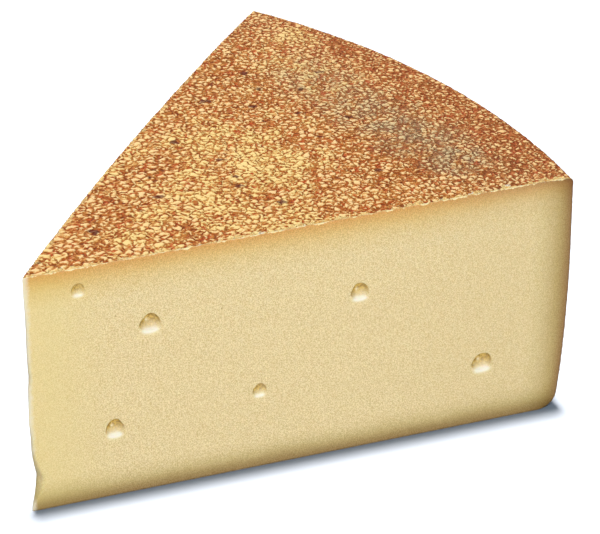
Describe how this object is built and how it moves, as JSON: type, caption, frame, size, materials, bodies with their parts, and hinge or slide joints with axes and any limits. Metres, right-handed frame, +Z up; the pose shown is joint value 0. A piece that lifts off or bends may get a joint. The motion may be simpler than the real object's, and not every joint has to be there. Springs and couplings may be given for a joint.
{
  "type": "mountain cheese wedge",
  "caption": "Wedge of firm pale yellow mountain cheese, with small round eyes in the cut faces and a mottled orange-brown rind on top, rim and underside.",
  "frame": {"origin": "middle of the footprint, on the underside that the wedge rests on", "axes": "+Z up, +X along the wedge's middle line from the tip to the rim, front cut face towards -Y"},
  "size_m": [0.1574, 0.1312, 0.0778],
  "materials": {
    "paste": "matt, waxy, firm cheese paste",
    "rind": "matt washed rind, finely ridged"
  },
  "bodies": {
    "root": {"cheese_wedge": "paste"}
  },
  "joints": []
}
